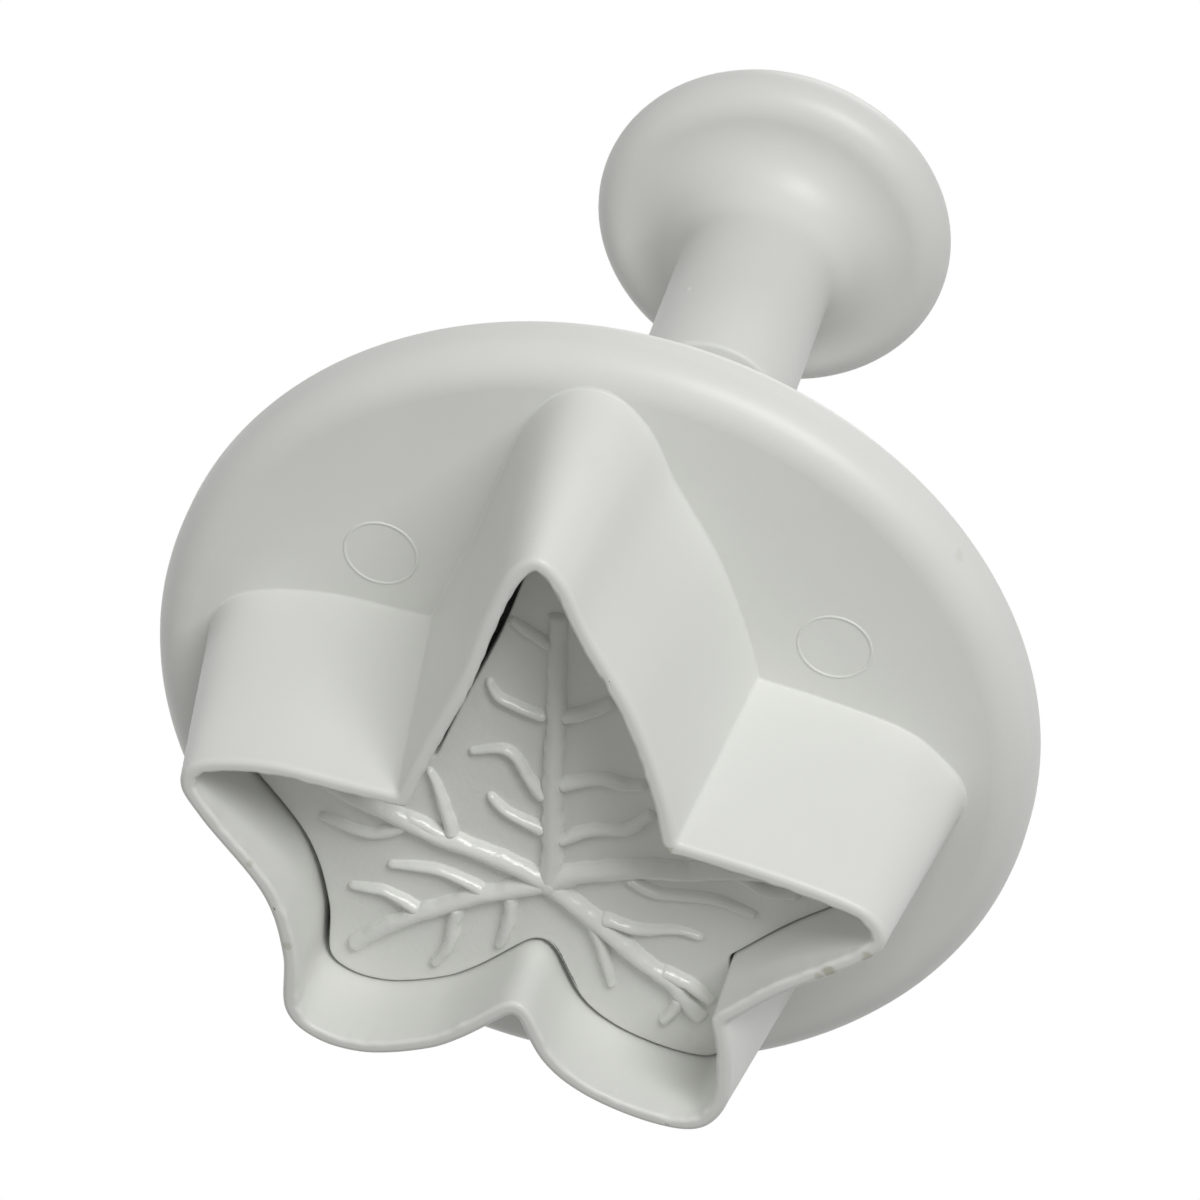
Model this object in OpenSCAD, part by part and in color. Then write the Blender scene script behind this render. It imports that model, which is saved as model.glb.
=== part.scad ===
// Leaf plunger cutter for sugar paste and pastry.
// A hollow leaf-shaped blade stands on a round finger plate. A sprung plunger inside it presses
// a veined leaf plate down to the paste, and the spring lifts it back into the blade.
// Millimetres, +Z up to the knob. The origin is on the table, on the axis, where the blade stands.

/* [Blade] */
// Height of the leaf-shaped blade, from its edge to the finger plate
blade_h = 13.5; // [10:0.1:20]
// Width of the blade's edge
edge_t = 0.85; // [0.5:0.05:1.2]
// How far the outside of the blade spreads from the edge to the finger plate
blade_spread = 2; // [1:0.1:2.6]
// Rounding of the blade's edge
edge_round = 0.12; // [0.05:0.01:0.2]
// Scale of the leaf outline
leaf_scale = 1; // [0.8:0.01:1.02]

/* [Finger plate] */
// Diameter of the finger plate
flange_d = 52; // [50:0.5:70]
// Thickness of the finger plate
flange_t = 1.8; // [1.2:0.1:2.4]
// Outer radius of its turned-up lip
lip_r = 2.2; // [1.9:0.1:2.3]
// Straight height of the lip above its curve
lip_rise = 0.8; // [0.3:0.1:3]

/* [Guide post] */
// Outer diameter of the post below the shoulder
post_d = 9.7; // [9:0.1:12]
// Wall of the hollow post
post_wall = 1.3; // [1:0.1:1.6]
// Fillet between the post and the finger plate
post_fillet = 2.5; // [0.5:0.1:5]
// Outer diameter of the guide tube above the shoulder
guide_d = 7; // [6:0.1:7.4]
// Height of the guide tube's top above the finger plate
guide_top = 37.5; // [35:0.1:39]

/* [Plunger] */
// Diameter of the plunger's sleeve
sleeve_d = 9.7; // [9.2:0.1:11]
// Diameter of the knob
knob_d = 22.6; // [18:0.1:28]
// Rounding of the knob's rim
knob_round = 2; // [1.2:0.1:2.4]
// Fillet between the sleeve and the knob
knob_fillet = 3; // [1:0.1:4]
// Rise of the knob's domed top
dome_h = 1.4; // [0.5:0.1:3]
// Height of the widest part of the knob above the finger plate
knob_z = 52; // [51.5:0.1:60]
// Height of the sleeve's lower end above the finger plate
sleeve_z = 32; // [30:0.1:34]
// Depth of the spring's chamber above the sleeve's lower end
chamber_h = 17.2; // [14:0.1:18]

/* [Push rod] */
// Diameter of the rod
rod_d = 3.8; // [3:0.1:4]
// Depth of the rod's seat in the knob
knob_seat = 5; // [3:0.1:5.5]
// Depth of the rod's seat in the leaf plate
plate_seat = 4; // [2:0.1:4.5]
// Diameter of the leaf plate's boss
boss_d = 8.6; // [8.2:0.1:10]

/* [Leaf plate] */
// Depth of the leaf plate's face inside the blade at rest
recess = 5.5; // [4:0.1:7]
// Thickness of the leaf plate
plate_t = 1.6; // [1.2:0.1:2]
// Height of the largest vein
vein_h = 0.8; // [0.4:0.05:1]

/* [Spring] */
// Diameter of the spring's wire
wire_d = 0.6; // [0.4:0.05:0.7]
// Mean diameter of the spring's curls
coil_d = 5.3; // [5:0.1:5.6]
// Number of curls
curls = 7; // [5:1:8]

/* [Fits] */
// Gap all round between the leaf plate and the blade
plate_gap = 0.3; // [0.2:0.05:0.5]
// Running clearance of the sleeve on the guide tube, on the radius
slide_gap = 0.08; // [0.03:0.01:0.1]
// Free clearance round the rod where it passes the guide tube, on the radius
rod_gap = 0.25; // [0.15:0.05:0.4]
// Gap at both stops of the plunger
stop_gap = 0.05; // [0.02:0.01:0.1]
// How far a full press takes the leaf plate past the edge
eject = 0.5; // [0:0.1:1]

/* [Hidden] */
round_fn = 96;
tiny = 0.01;

// Heights, from the table up
plate_back = recess + plate_t;
travel = recess + eject;
face_z = blade_h;
floor_z = blade_h + flange_t;
sleeve_end = face_z + sleeve_z;
shoulder_z = sleeve_end - travel - stop_gap;
guide_end = face_z + guide_top;
ceiling_z = sleeve_end + chamber_h;
knob_mid = face_z + knob_z;
boss_top = face_z - stop_gap;
rod_bottom = boss_top - plate_seat;
rod_top = ceiling_z + knob_seat;

// Radii
flange_r = flange_d / 2;
guide_r = guide_d / 2;
sleeve_bore = guide_r + slide_gap;
rod_bore = rod_d / 2 + rod_gap;
knob_r = knob_d / 2;

// The leaf's outline at the edge, seen from above, as four stretches of curve. Each stretch
// starts and ends at a sharp inner corner of the leaf and has its knots along it.
LEFT_NICK = [-8.2, 3.9];
RIGHT_NICK = [7.9, 3.9];
SIDE_NICK = [-11.6, -8.7];
STALK_NICK = [0.7, -10.6];
LEAF = [
    // top lobe
    [RIGHT_NICK, [6.6, 7.6], [4.7, 12.6], [3.3, 17.3], [2, 20.7], [0.4, 22.1], [-1.2, 20.8],
        [-2.7, 17.6], [-5.4, 12.8], [-7.3, 7.6], LEFT_NICK],
    // side lobe, -X
    [LEFT_NICK, [-12.9, 3.1], [-17.6, 2], [-19.6, 1], [-20.3, -0.7], [-19, -2.5],
        [-14.7, -5.8], SIDE_NICK],
    // lower lobe, -X
    [SIDE_NICK, [-12, -11.7], [-11.8, -14.9], [-10.3, -17], [-7.4, -17.2], [-3.7, -16.1],
        [-1.1, -14.1], STALK_NICK],
    // lower lobe and side lobe, +X
    [STALK_NICK, [3.8, -13.4], [6.1, -14.8], [9.5, -15.8], [12.4, -15.4], [14.2, -13.6],
        [14.4, -9.5], [15.7, -5.2], [19.3, -0.4], [20.5, 1.9], [19.5, 3.7], [15.6, 4.5],
        [11.2, 4.2], RIGHT_NICK],
];
steps_per_knot = 3;

// The raised veins on the leaf plate: width at the root, width at the tip, then the knots.
HUB = [0.1, -5.1];
MAIN_VEINS = [
    [1.4, 0.8, [HUB, [0, -1.7], [0.1, 2], [0.1, 5.6], [0.2, 9.2], [0.2, 15]]],
    [1.4, 0.8, [HUB, [2.9, -4.3], [5.3, -3.4], [8.9, -2.2], [11.5, -1.3], [14.8, 0]]],
    [1.4, 0.8, [HUB, [-1.5, -4], [-4.6, -3], [-8.1, -2.5], [-11.3, -1.7], [-14.8, -1.3]]],
    [1.4, 0.9, [HUB, [1.7, -5.8], [4.1, -6.9], [6.4, -8.3], [8.7, -9.8], [11.2, -12]]],
    [1.5, 0.9, [HUB, [-1.8, -6.5], [-3.6, -7.8], [-5.5, -9.3], [-7.9, -11.3],
        [-9.9, -13.3]]],
];
SIDE_VEINS = [
    // off the middle vein, to +X
    [0.8, 0.5, [[0.3, -1.2], [2.2, -0.4], [3.8, 0.7]]],
    [0.8, 0.5, [[0.2, 1.3], [1.4, 2.3], [2.6, 4.1], [3.3, 4.2], [4.2, 3.8], [5, 3.5]]],
    [0.7, 0.5, [[0.2, 7.1], [2.7, 7.6], [3.5, 8.1], [4, 8.9]]],
    [0.7, 0.4, [[0.2, 12.1], [1.7, 13], [2.7, 13.6]]],
    // off the middle vein, to -X
    [0.8, 0.5, [[0, -2], [-1, -1.3], [-2.2, -0.6], [-4.2, -0.1], [-5.9, 1.4]]],
    [0.8, 0.5, [[0, 1.9], [-0.8, 2.5], [-2.7, 3.2], [-4.4, 3.1], [-5.4, 3.3]]],
    [0.8, 0.5, [[0, 7.1], [-1.6, 7.9], [-3.2, 8.9]]],
    // off the upper vein, +X
    [0.7, 0.5, [[5.8, -3.5], [6.2, -1.6], [6.5, -0.2], [7.4, 1.8]]],
    [0.8, 0.5, [[8.3, -2.1], [9.4, -3.2], [10.6, -3.6], [11.8, -3.4], [13.8, -3]]],
    // off the upper vein, -X
    [0.8, 0.5, [[-3.8, -3.2], [-5.8, -4.1], [-8.8, -4.1], [-10.2, -4.2], [-11.8, -4.7]]],
    [0.7, 0.5, [[-10.5, -1.9], [-11.9, -2.5], [-13.1, -2.9], [-14.7, -2.7]]],
    // off the lower vein, +X
    [0.8, 0.6, [[3.8, -6.7], [5.6, -5.7], [7.1, -5.4], [9.6, -5.6]]],
    [0.8, 0.5, [[7, -8.8], [8.8, -8], [9.7, -7.7], [11.8, -7.6]]],
    [0.8, 0.5, [[5.4, -7.7], [5.7, -9.3], [5.8, -10.5], [6.8, -12.6]]],
    [0.8, 0.5, [[2.3, -6.1], [2.3, -7.6], [2.7, -10.1]]],
    // off the lower vein, -X
    [0.9, 0.5, [[-3, -7.4], [-4.2, -7.2], [-5.4, -7.3], [-7.4, -6.8], [-9, -7.2]]],
    [0.8, 0.5, [[-2.2, -6.8], [-2.9, -8.7], [-3.6, -11.3], [-3.8, -12.4]]],
    [0.9, 0.5, [[-6.7, -10.2], [-8, -10.6], [-9.8, -11.5]]],
    [0.8, 0.5, [[-7.8, -11.2], [-7.8, -12.5], [-7, -14]]],
];

// ---- curves ----

// Point at u = 0..1 between b and c on the curve through a, b, c and d.
function curve_at(a, b, c, d, u) =
    (b * 2 + (c - a) * u + (a * 2 - b * 5 + c * 4 - d) * u * u
        + (b * 3 - a - c * 3 + d) * u * u * u) / 2;

// A smooth curve through the knots, with the last knot left out.
function smooth(knots, steps) =
    let (n = len(knots) - 1)
    [for (i = [0:n - 1]) for (s = [0:steps - 1])
        curve_at(i > 0 ? knots[i - 1] : knots[0] * 2 - knots[1], knots[i], knots[i + 1],
            i < n - 1 ? knots[i + 2] : knots[n] * 2 - knots[n - 1], s / steps)];

function unit(v) = v / norm(v);
function left_of(v) = [-v[1], v[0]];

// One stretch of the leaf's side: straight next to the sharp corners, so that the sides can be
// moved out there without folding, and smooth between.
function stretch(knots, steps) =
    let (n = len(knots) - 1)
    [for (i = [0:n - 1]) for (s = [0:(i == 0 || i == n - 1 ? 0 : steps - 1)])
        s == 0 ? knots[i]
            : curve_at(knots[i - 1], knots[i], knots[i + 1], knots[i + 2], s / steps)];

// The leaf at the edge, counterclockwise seen from above.
leaf_points = [for (part = LEAF) each stretch(part * leaf_scale, steps_per_knot)];
leaf_n = len(leaf_points);

// The leaf with every side moved out by t, so that matching sides stay parallel.
function grown(t) =
    [for (i = [0:leaf_n - 1])
        let (p = leaf_points[i],
            before = unit(p - leaf_points[(i + leaf_n - 1) % leaf_n]),
            after = unit(leaf_points[(i + 1) % leaf_n] - p),
            n1 = -left_of(before),
            n2 = -left_of(after))
        p + (n1 + n2) * t / (1 + n1 * n2)];

// ---- solids ----

// A closed solid through loops of points that match one to one.
module loft(loops) {
    n = len(loops[0]);
    rows = len(loops);
    points = [for (loop = loops) each loop];
    sides = [for (k = [0:rows - 2]) for (i = [0:n - 1])
        let (j = (i + 1) % n)
        [k * n + i, (k + 1) * n + i, (k + 1) * n + j, k * n + j]];
    ends = [[for (i = [0:n - 1]) i], [for (i = [n - 1:-1:0]) (rows - 1) * n + i]];
    polyhedron(points, concat(sides, ends));
}

function at_height(loop, z) = [for (p = loop) [p[0], p[1], z]];

// Outside of the blade: a rounded edge, then a straight draft up into the finger plate.
module blade_outside() {
    root = blade_h + flange_t / 2;
    spread = blade_spread / blade_h;
    loft([
        at_height(grown(-edge_round), 0),
        at_height(grown(edge_round * spread), edge_round),
        at_height(grown(root * spread), root),
    ]);
}

// The hollow that the leaf plate slides in, rounded in the leaf's inner corners.
module leaf_inside(t) {
    offset(r = -t, $fn = 40)
        polygon(leaf_points);
}

// Half section of the finger plate and the post.
module body_section() {
    r0 = flange_r - lip_r;
    lip_z = face_z + lip_r;
    fillet_r = post_d / 2 + post_fillet;
    translate([0, face_z]) square([r0, flange_t]);
    // the lip: a quarter round, a short upright and a rounded top
    translate([r0, lip_z]) quarter_ring(lip_r, lip_r - flange_t);
    translate([flange_r - flange_t, lip_z]) square([flange_t, lip_rise]);
    translate([flange_r - flange_t / 2, lip_z + lip_rise])
        circle(flange_t / 2, $fn = round_fn);
    // the post, its fillet and the guide tube
    translate([0, face_z]) square([post_d / 2, shoulder_z - face_z]);
    difference() {
        translate([0, floor_z - tiny]) square([fillet_r, post_fillet + tiny]);
        translate([fillet_r, floor_z + post_fillet]) circle(post_fillet, $fn = round_fn);
    }
    translate([0, face_z]) square([guide_r, guide_end - face_z]);
}

// The lower right quarter of a ring.
module quarter_ring(outer, inner) {
    difference() {
        circle(outer, $fn = round_fn);
        circle(inner, $fn = round_fn);
        translate([-2 * outer, -2 * outer]) square([2 * outer, 4 * outer]);
        translate([-2 * outer, 0]) square([4 * outer, 2 * outer]);
    }
}

module cutter_body() {
    color("gainsboro")
    difference() {
        union() {
            rotate_extrude($fn = round_fn) body_section();
            blade_outside();
        }
        translate([0, 0, -1]) linear_extrude(face_z + 1) leaf_inside(edge_t);
        // the post is hollow below the shoulder
        translate([0, 0, face_z - 1])
            cylinder(h = shoulder_z - post_wall - face_z + 1, d = post_d - 2 * post_wall,
                $fn = round_fn);
        translate([0, 0, face_z]) cylinder(h = guide_end, r = rod_bore, $fn = round_fn);
    }
}

// Half section of the knob and sleeve, with the spring's chamber and the rod's seat.
module plunger_section() {
    r = sleeve_d / 2;
    rim = knob_r - knob_round;
    under = knob_mid - knob_round;
    top = knob_mid + knob_round;
    dome_r = (rim * rim + dome_h * dome_h) / (2 * dome_h);
    difference() {
        union() {
            translate([0, sleeve_end]) square([r, knob_mid - sleeve_end]);
            translate([0, under]) square([rim, 2 * knob_round]);
            translate([rim, knob_mid]) circle(knob_round, $fn = round_fn);
            translate([0, under - knob_fillet])
                square([r + knob_fillet, knob_fillet + tiny]);
            intersection() {
                translate([0, top + dome_h - dome_r]) circle(dome_r, $fn = round_fn);
                translate([0, top - tiny]) square([rim, dome_h + 1]);
            }
        }
        translate([r + knob_fillet, under - knob_fillet]) circle(knob_fillet, $fn = round_fn);
        translate([-2 * knob_r, 0]) square([2 * knob_r, 2 * top]);
        translate([-1, sleeve_end - 1]) square([1 + sleeve_bore, chamber_h + 1]);
        translate([-1, ceiling_z - 1]) square([1 + rod_d / 2, knob_seat + 1]);
    }
}

module plunger_knob() {
    color("whitesmoke")
    rotate_extrude($fn = round_fn) plunger_section();
}

module push_rod() {
    color("gainsboro")
    translate([0, 0, rod_bottom])
        cylinder(h = rod_top - rod_bottom, d = rod_d, $fn = round_fn);
}

// ---- the spring ----

wire_r = wire_d / 2;
spring_bottom = guide_end;
spring_top = ceiling_z;
rings_per_curl = 8;
ring_sides = 6;
end_turns = 1;
spring_rise = spring_top - spring_bottom - 2 * wire_r;
spring_rings = curls * rings_per_curl;

// Height of the wire's middle after v curls: slow in the end turns, steady between them.
end_pitch = wire_d + 0.42;
steady_pitch = (spring_rise - 2 * end_turns * end_pitch) / (curls - 2 * end_turns);
function spring_lift(v) =
    v < end_turns ? v * end_pitch :
    v > curls - end_turns ? spring_rise - (curls - v) * end_pitch :
    end_turns * end_pitch + (v - end_turns) * steady_pitch;

function spring_middle(k) =
    let (v = k / rings_per_curl, a = 360 * v)
    [coil_d / 2 * cos(a), coil_d / 2 * sin(a), spring_bottom + wire_r + spring_lift(v)];

// Ring k of the wire's skin, in the upright plane through the axis.
function spring_ring(k) =
    let (a = 360 * k / rings_per_curl, c = spring_middle(k))
    [for (s = [0:ring_sides - 1])
        let (b = 360 * s / ring_sides)
        c + wire_r * [cos(b) * cos(a), cos(b) * sin(a), sin(b)]];

spring_skin = [for (k = [0:spring_rings]) each spring_ring(k)];

// Least gap between the wire's skin on one curl and on the next.
function curl_gap(k) =
    min([for (p = spring_ring(k)) for (q = spring_ring(k + rings_per_curl)) norm(p - q)]);
spring_gap = min([for (k = [0:spring_rings - rings_per_curl]) curl_gap(k)]);
echo(spring_gap = spring_gap);

module return_spring() {
    n = ring_sides;
    last = spring_rings * n;
    sides = [for (k = [0:spring_rings - 1]) for (s = [0:n - 1])
        let (a = k * n + s, b = k * n + (s + 1) % n)
        each [[a, a + n, b + n], [a, b + n, b]]];
    ends = [[for (s = [0:n - 1]) s], [for (s = [n - 1:-1:0]) last + s]];
    color("silver")
    polyhedron(spring_skin, concat(sides, ends));
}

// ---- the leaf plate ----

vein_steps = 2;
vein_sink = 0.3;
wide_vein = 1.5;
hub_r = 1.15;
// The last section of a vein's sloped end: how far past its last knot, how wide and how high,
// the first two as a share of the vein's width there and the third of its height.
nose = [0.45, 0.5, 0.4];

// A narrow vein stands less high than a wide one.
function height_of(w) = vein_h * pow(w / wide_vein, 0.7);

// Section of a vein of width w and height h across direction n, sunk into the plate at p.
function vein_ring(p, n, w, h) =
    [for (q = [[-0.56, vein_sink], [-0.34, -0.7 * h], [0, -h], [0.34, -0.7 * h],
            [0.56, vein_sink]])
        [p[0] + n[0] * q[0] * w, p[1] + n[1] * q[0] * w, recess + q[1]]];

module vein(root_w, tip_w, knots) {
    path = concat(smooth(knots, vein_steps), [knots[len(knots) - 1]]);
    last = len(path) - 1;
    d = unit(path[last] - path[last - 1]);
    loft(concat(
        [for (i = [0:last])
            let (ahead = path[min(i + 1, last)] - path[max(i - 1, 0)],
                w = (root_w + (tip_w - root_w) * i / last))
            vein_ring(path[i], left_of(unit(ahead)), w, height_of(w))],
        // its sloped end
        [vein_ring(path[last] + d * nose[0] * tip_w, left_of(d), nose[1] * tip_w,
            nose[2] * height_of(tip_w))]));
}

module embossing_plate() {
    color("gainsboro")
    difference() {
        union() {
            translate([0, 0, recess]) linear_extrude(plate_t) leaf_inside(edge_t + plate_gap);
            translate([0, 0, plate_back - tiny])
                cylinder(h = boss_top - plate_back + tiny, d = boss_d, $fn = 48);
            translate([leaf_scale * HUB[0], leaf_scale * HUB[1], recess])
                scale([hub_r, hub_r, 1.1 * vein_h]) sphere(1, $fn = 16);
            for (v = concat(MAIN_VEINS, SIDE_VEINS)) vein(v[0], v[1], v[2] * leaf_scale);
        }
        translate([0, 0, rod_bottom]) cylinder(h = plate_seat + 1, d = rod_d, $fn = 48);
    }
}

cutter_body();
plunger_knob();
push_rod();
return_spring();
embossing_plate();
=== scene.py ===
# %% [markdown]
# # A leaf plunger cutter
# This lesson dresses a small pastry tool: a leaf-shaped blade under a round finger plate, with a
# sprung plunger that pushes a veined leaf plate down inside the blade. Almost all of it is
# moulded in one off-white plastic, so the look comes from soft form and very small detail.
#
# The tool has already been built as solids in CAD, and those solids are the frame: they say
# where each part sits and how the plunger slides. We load them first and never move them.

# %% Load the frame
import bpy
import bmesh
import numpy as np
from mathutils import Matrix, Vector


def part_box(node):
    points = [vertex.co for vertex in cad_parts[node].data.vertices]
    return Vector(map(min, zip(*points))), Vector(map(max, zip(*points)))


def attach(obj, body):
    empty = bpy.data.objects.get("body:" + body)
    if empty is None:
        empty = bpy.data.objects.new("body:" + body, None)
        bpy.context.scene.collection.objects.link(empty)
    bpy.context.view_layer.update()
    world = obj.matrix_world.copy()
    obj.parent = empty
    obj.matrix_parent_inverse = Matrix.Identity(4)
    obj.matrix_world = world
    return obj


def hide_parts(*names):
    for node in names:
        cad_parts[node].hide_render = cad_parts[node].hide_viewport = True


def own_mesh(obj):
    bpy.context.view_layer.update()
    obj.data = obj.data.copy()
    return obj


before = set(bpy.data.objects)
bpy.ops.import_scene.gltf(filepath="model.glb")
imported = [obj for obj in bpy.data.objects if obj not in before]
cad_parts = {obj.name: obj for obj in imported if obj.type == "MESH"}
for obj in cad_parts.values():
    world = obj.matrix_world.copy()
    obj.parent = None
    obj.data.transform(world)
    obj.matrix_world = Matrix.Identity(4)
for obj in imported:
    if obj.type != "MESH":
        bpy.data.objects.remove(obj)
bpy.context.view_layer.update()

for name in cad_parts:
    low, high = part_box(name)
    print(name, "z from", round(low[2] * 1000, 2), "to", round(high[2] * 1000, 2), "mm")

# %% [markdown]
# ## The camera
# The photograph looks up at the blade from below the table, from a little over 40 cm away, with
# the tool leaning to the right. A long lens keeps the perspective gentle. We could turn the
# camera by trial, but it is clearer to build it from four plain facts: the point that it looks
# at, the direction that it looks from, the distance, and how far it leans.

# %% Place the camera
MM = 0.001

aim = np.array([-1.22, 12.21, 9.98])
azimuth, elevation, lean = np.radians([194.4, -50.553, 20.851])
distance = 421.7

back = np.array([np.sin(azimuth) * np.cos(elevation), -np.cos(azimuth) * np.cos(elevation),
                 np.sin(elevation)])
level = np.cross(-back, [0, 0, 1])
level /= np.linalg.norm(level)
right = level * np.cos(lean) + np.cross(level, -back) * np.sin(lean)
up = np.cross(back, right)

lens = bpy.data.cameras.new("camera")
lens.lens, lens.sensor_width = 225, 36
camera = bpy.data.objects.new("camera", lens)
bpy.context.collection.objects.link(camera)
pose = np.eye(4)
pose[:3, :3] = np.stack([right, up, back], axis=1)
pose[:3, 3] = (aim + back * distance) * MM
camera.matrix_world = Matrix(pose.tolist())
bpy.context.scene.camera = camera
print("camera at", np.round(pose[:3, 3], 3), "m")

# %% [markdown]
# ## Skins from grids
# Every new piece is a skin: a stack of loops with the same number of points in each, so that the
# whole piece is one grid of rows and columns. Two numbers, the row and the place round the loop,
# find every point. Faces join each point to its neighbours, and a skin closes either in a pole
# at each end or by meeting its own first row again.

# %% Turn a stack of loops into a mesh
def skin(loops, first_pole=None, last_pole=None):
    """Points and faces of a stack of loops (rows x columns x 3, in mm). Face (i, j) joins point
    (i, j) to (i, j + 1), (i + 1, j + 1) and (i + 1, j), with the columns counted in a ring. Each
    end closes in a fan round its pole, and without poles the last row joins the first."""
    loops = np.asarray(loops, float)
    rows, columns = loops.shape[:2]
    ring = first_pole is None
    i = np.arange(rows if ring else rows - 1)[:, None]
    j = np.arange(columns)[None, :]
    below, beside = (i + 1) % rows, (j + 1) % columns
    faces = np.stack([i * columns + j, i * columns + beside, below * columns + beside,
                      below * columns + j], axis=-1).reshape(-1, 4).tolist()
    points = loops.reshape(-1, 3)
    if not ring:
        n = len(points)
        points = np.vstack([points, first_pole, last_pole])
        around, after = j[0], beside[0]
        last = (rows - 1) * columns
        faces += np.stack([np.full(columns, n), after, around], axis=-1).tolist()
        faces += np.stack([np.full(columns, n + 1), last + around, last + after],
                          axis=-1).tolist()
    return points, faces


def piece(name, skins):
    """One object from one or more closed skins, in metres, smooth, with its faces outwards."""
    points, faces = [], []
    for some_points, some_faces in skins:
        start = sum(len(p) for p in points)
        faces += [[v + start for v in face] for face in some_faces]
        points.append(some_points)
    mesh = bpy.data.meshes.new(name)
    mesh.from_pydata((np.vstack(points) * MM).tolist(), [], faces)
    shape = bmesh.new()
    shape.from_mesh(mesh)
    bmesh.ops.recalc_face_normals(shape, faces=shape.faces)
    shape.to_mesh(mesh)
    shape.free()
    mesh.polygons.foreach_set("use_smooth", np.ones(len(mesh.polygons), bool))
    made = bpy.data.objects.new(name, mesh)
    bpy.context.collection.objects.link(made)
    print(name, "has", sum(len(f) - 2 for f in faces), "triangles")
    return made

# %% [markdown]
# ## The leaf's outline
# The blade, the leaf plate and the gap between them all follow one ivy leaf. It is four
# stretches of smooth curve that meet in sharp inner corners: both sides of the top lobe, the
# side lobes and the notch at the stalk. Each stretch runs through a few knots, in millimetres,
# at the height of the cutting edge.

# %% The leaf's knots
LEFT_NICK, RIGHT_NICK = [-8.2, 3.9], [7.9, 3.9]
SIDE_NICK, STALK_NICK = [-11.6, -8.7], [0.7, -10.6]
LEAF = [
    [RIGHT_NICK, [6.6, 7.6], [4.7, 12.6], [3.3, 17.3], [2, 20.7], [0.4, 22.1], [-1.2, 20.8],
     [-2.7, 17.6], [-5.4, 12.8], [-7.3, 7.6], LEFT_NICK],
    [LEFT_NICK, [-12.9, 3.1], [-17.6, 2], [-19.6, 1], [-20.3, -0.7], [-19, -2.5],
     [-14.7, -5.8], SIDE_NICK],
    [SIDE_NICK, [-12, -11.7], [-11.8, -14.9], [-10.3, -17], [-7.4, -17.2], [-3.7, -16.1],
     [-1.1, -14.1], STALK_NICK],
    [STALK_NICK, [3.8, -13.4], [6.1, -14.8], [9.5, -15.8], [12.4, -15.4], [14.2, -13.6],
     [14.4, -9.5], [15.7, -5.2], [19.3, -0.4], [20.5, 1.9], [19.5, 3.7], [15.6, 4.5],
     [11.2, 4.2], RIGHT_NICK],
]


def curve(knots, steps=24):
    """Catmull-Rom curve: between knots b and c, with a before and d after, the point at u is
    half of 2b + (c - a)u + (2a - 5b + 4c - d)u^2 + (3b - a - 3c + d)u^3."""
    knots = np.asarray(knots, float)
    k = np.vstack([2 * knots[0] - knots[1], knots, 2 * knots[-1] - knots[-2]])
    u = (np.arange(steps) / steps)[None, :, None]
    a, b, c, d = (k[i:len(k) - 3 + i][:, None, :] for i in range(4))
    p = (2 * b + (c - a) * u + (2 * a - 5 * b + 4 * c - d) * u**2
         + (3 * b - a - 3 * c + d) * u**3) / 2
    return np.vstack([p.reshape(-1, 2), knots[-1]])


def along(path):
    """Distance run from the path's first point to each of its points."""
    return np.concatenate([[0], np.cumsum(np.linalg.norm(np.diff(path, axis=0), axis=1))])

print("round the leaf:", round(sum(along(curve(k))[-1] for k in LEAF), 1), "mm")

# %% [markdown]
# ## Moving the outline out and in
# A blade with draft needs the same leaf at many sizes. Scaling it would change the wall's
# thickness from lobe to lobe. Instead each point steps sideways along the curve's own normal,
# and where two stretches meet, the part past their crossing is left off and a small round takes
# its place. Every size keeps the same number of points, so the loops still match one to one.

# %% The leaf with its sides moved by t
REACH = {  # how far the round in each corner reaches: at the inner wall, the edge and the root
    0: (0.55, 0.35, 0.3), 1: (0.45, 0.35, 0.3), 2: (1.9, 0.9, 0.7), 3: (0.45, 0.35, 0.3)}
CORNER_POINTS = 9
SPACING = 0.14
RUN_ON = 5  # each stretch goes on straight for this far past both ends, in mm


def stretch_data(knots):
    """Arc length, points and normals of one stretch, run on straight at both ends."""
    path = curve(knots)
    path[-1] = knots[-1]
    first, last = path[0] - path[1], path[-1] - path[-2]
    path = np.vstack([path[0] + first / np.linalg.norm(first) * RUN_ON, path,
                      path[-1] + last / np.linalg.norm(last) * RUN_ON])
    s = along(path) - RUN_ON
    run = np.gradient(path, s, axis=0)
    run /= np.linalg.norm(run, axis=1)[:, None]
    normal = np.stack([run[:, 1], -run[:, 0]], axis=1)
    return s, path, normal, run

STRETCHES = [stretch_data(knots) for knots in LEAF]
COUNTS = [int((s[-1] - RUN_ON) / SPACING) for s, *_ in STRETCHES]


def unfolded(shifted, path):
    """A stretch moved inwards past its own curvature folds over itself at the lobe's tip. The
    two sides are cut where they cross, and the same number of points spread evenly again."""
    folded = np.flatnonzero((np.gradient(shifted, axis=0) * np.gradient(path, axis=0))
                            .sum(axis=1) <= 0)
    if len(folded) == 0:
        return shifted
    before, after = shifted[:folded[0]], shifted[folded[-1] + 1:]
    apart = np.linalg.norm(before[:, None] - after[None], axis=2)
    i, j = np.unravel_index(apart.argmin(), apart.shape)
    kept = np.vstack([before[:i], (before[i] + after[j])[None] / 2, after[j + 1:]])
    s = along(kept)
    at = np.linspace(0, s[-1], len(shifted))
    return np.stack([np.interp(at, s, kept[:, k]) for k in (0, 1)], axis=1)


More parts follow.
